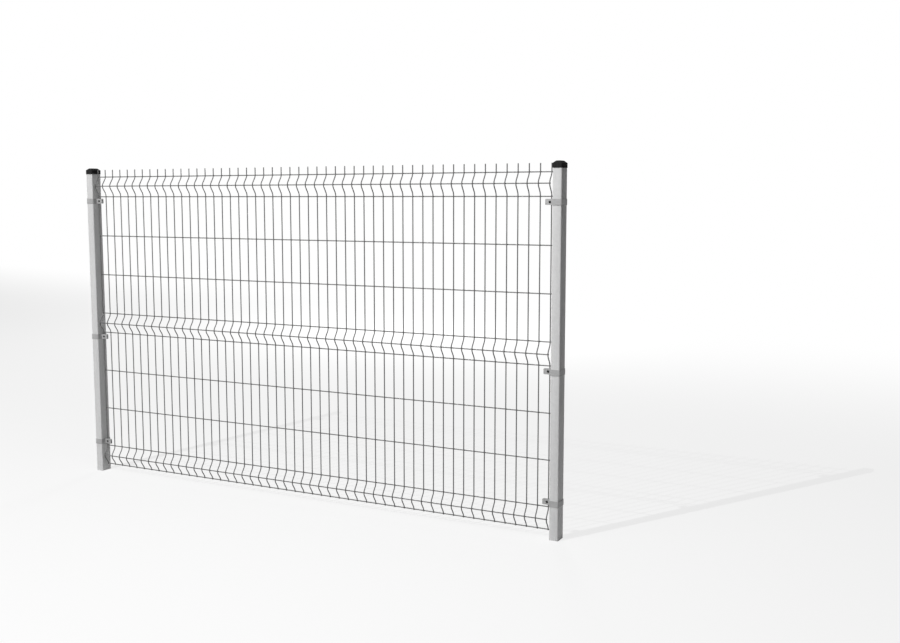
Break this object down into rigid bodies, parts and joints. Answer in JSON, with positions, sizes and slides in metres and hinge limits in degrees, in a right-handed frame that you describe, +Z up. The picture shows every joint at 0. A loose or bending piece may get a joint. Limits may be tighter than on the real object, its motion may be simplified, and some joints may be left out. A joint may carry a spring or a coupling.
{
  "type": "profiled mesh fence bay",
  "caption": "Profiled welded-mesh fence bay: V-folded wire panel with a spiked top edge, gripped by bolted strap clamps between rectangular hollow posts with push-on caps.",
  "frame": {"origin": "on the ground, midway between the posts and in the middle of their depth", "axes": "+X along the fence to the right, -Y towards the side that the folds point to, +Z up"},
  "size_m": [2.6132, 0.0642, 1.5782],
  "materials": {
    "galvanised_post": "pale galvanised steel, satin",
    "galvanised_wire": "galvanised drawn wire, satin grey",
    "galvanised_strap": "galvanised strip, satin grey",
    "black_bolt": "black coated steel",
    "zinc_fastener": "zinc plated",
    "cap_plastic": "black moulded plastic"
  },
  "bodies": {
    "fence": {"left_post": "galvanised_post", "right_post": "galvanised_post", "vertical_wires": "galvanised_wire", "bottom_fold_lower_wire": "galvanised_wire", "bottom_fold_ridge_wire": "galvanised_wire", "bottom_fold_upper_wire": "galvanised_wire", "middle_fold_lower_wire": "galvanised_wire", "middle_fold_ridge_wire": "galvanised_wire", "middle_fold_upper_wire": "galvanised_wire", "top_fold_lower_wire": "galvanised_wire", "top_fold_ridge_wire": "galvanised_wire", "top_fold_upper_wire": "galvanised_wire", "lower_field_wire_1": "galvanised_wire", "lower_field_wire_2": "galvanised_wire", "upper_field_wire_1": "galvanised_wire", "upper_field_wire_2": "galvanised_wire", "left_upper_clamp": "galvanised_strap", "left_middle_clamp": "galvanised_strap", "left_lower_clamp": "galvanised_strap", "right_upper_clamp": "galvanised_strap", "right_middle_clamp": "galvanised_strap", "right_lower_clamp": "galvanised_strap", "left_upper_clamp_bolt": "black_bolt", "left_middle_clamp_bolt": "black_bolt", "left_lower_clamp_bolt": "black_bolt", "right_upper_clamp_bolt": "black_bolt", "right_middle_clamp_bolt": "black_bolt", "right_lower_clamp_bolt": "black_bolt", "left_upper_clamp_washer": "zinc_fastener", "left_middle_clamp_washer": "zinc_fastener", "left_lower_clamp_washer": "zinc_fastener", "right_upper_clamp_washer": "zinc_fastener", "right_middle_clamp_washer": "zinc_fastener", "right_lower_clamp_washer": "zinc_fastener", "left_upper_clamp_nut": "zinc_fastener", "left_middle_clamp_nut": "zinc_fastener", "left_lower_clamp_nut": "zinc_fastener", "right_upper_clamp_nut": "zinc_fastener", "right_middle_clamp_nut": "zinc_fastener", "right_lower_clamp_nut": "zinc_fastener"},
    "left_cap": {"left_post_cap": "cap_plastic"},
    "right_cap": {"right_post_cap": "cap_plastic"}
  },
  "joints": [
    {"name": "left_cap_lift", "type": "slide", "parent": "fence", "child": "left_cap", "axis": [0, 0, 1], "range_m": [0, 0.04]},
    {"name": "right_cap_lift", "type": "slide", "parent": "fence", "child": "right_cap", "axis": [0, 0, 1], "range_m": [0, 0.04]}
  ]
}
